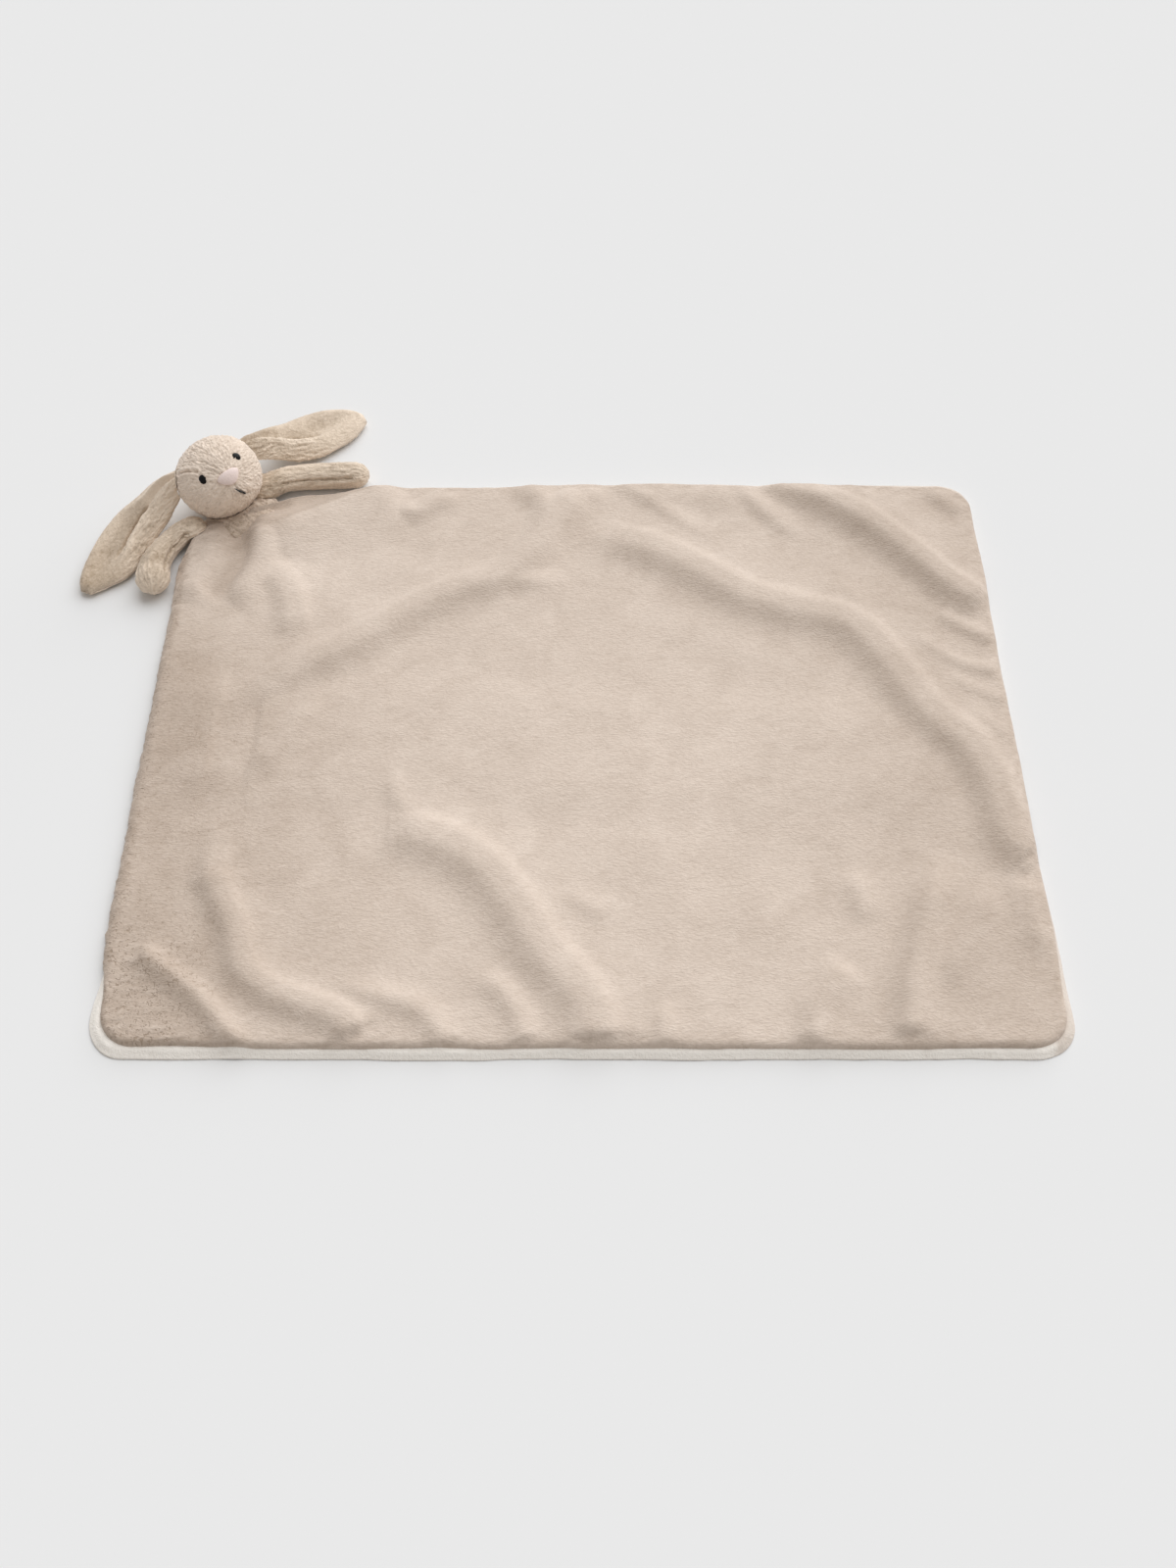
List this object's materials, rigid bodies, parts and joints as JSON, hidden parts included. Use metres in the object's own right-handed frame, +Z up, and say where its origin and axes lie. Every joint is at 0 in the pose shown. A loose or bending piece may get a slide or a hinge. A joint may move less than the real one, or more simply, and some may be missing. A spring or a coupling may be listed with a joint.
{
  "type": "comfort blanket",
  "caption": "Soft plush blanket, beige over cream, with a small bunny head, floppy ears and arms sewn to one corner, for a baby to hold and cuddle.",
  "frame": {"origin": "on the floor under the middle of the blanket", "axes": "+X along the blanket's long side, +Y towards the bunny's side, +Z up; the bunny lies face up at the far left corner"},
  "size_m": [0.7758, 0.6472, 0.0717],
  "materials": {
    "plush_beige": "short-pile plush, matte",
    "plush_cream": "short-pile plush, matte",
    "plush_bunny": "short fur plush, matte",
    "stuffing": "loose polyester fibre",
    "eye": "polished",
    "washer": "moulded",
    "nose": "short velour, matte",
    "stitch": "embroidery thread"
  },
  "bodies": {
    "blanket": {"front_panel": "plush_beige", "back_panel": "plush_cream", "chest_cover": "plush_bunny", "chest_stuffing": "stuffing"},
    "blanket_fold_side": {"front_panel_fold_side": "plush_beige", "back_panel_fold_side": "plush_cream"},
    "head": {"head_left_panel": "plush_bunny", "head_right_panel": "plush_bunny", "head_gusset": "plush_bunny", "head_stuffing": "stuffing", "left_eye": "eye", "right_eye": "eye", "left_eye_washer": "washer", "right_eye_washer": "washer", "nose": "nose", "mouth_stitch": "stitch"},
    "left_ear": {"left_ear_back": "plush_bunny", "left_ear_lining": "plush_bunny"},
    "right_ear": {"right_ear_back": "plush_bunny", "right_ear_lining": "plush_bunny"},
    "left_arm": {"left_arm_top_panel": "plush_bunny", "left_arm_under_panel": "plush_bunny", "left_arm_stuffing": "stuffing"},
    "right_arm": {"right_arm_top_panel": "plush_bunny", "right_arm_under_panel": "plush_bunny", "right_arm_stuffing": "stuffing"}
  },
  "joints": [
    {"name": "blanket_fold", "type": "hinge", "parent": "blanket", "child": "blanket_fold_side", "pos_m": [0.08, 0, 0.027], "axis": [0, -1, 0], "range_deg": [0, 170]},
    {"name": "head_nod", "type": "hinge", "parent": "blanket", "child": "head", "pos_m": [-0.29531, 0.22833, 0.024], "axis": [0.7716, 0.6361, 0], "range_deg": [0, 55]},
    {"name": "left_ear_lift", "type": "hinge", "parent": "head", "child": "left_ear", "pos_m": [-0.29029, 0.28768, 0.043], "axis": [0.7987, -0.6017, 0], "range_deg": [0, 105]},
    {"name": "right_ear_lift", "type": "hinge", "parent": "head", "child": "right_ear", "pos_m": [-0.35453, 0.23472, 0.043], "axis": [-0.4382, 0.8989, 0], "range_deg": [0, 105]},
    {"name": "left_arm_lift", "type": "hinge", "parent": "blanket", "child": "left_arm", "pos_m": [-0.2709, 0.26789, 0.013], "axis": [0.6361, -0.7716, 0], "range_deg": [0, 60]},
    {"name": "right_arm_lift", "type": "hinge", "parent": "blanket", "child": "right_arm", "pos_m": [-0.3388, 0.21191, 0.013], "axis": [-0.6361, 0.7716, 0], "range_deg": [0, 60]}
  ]
}
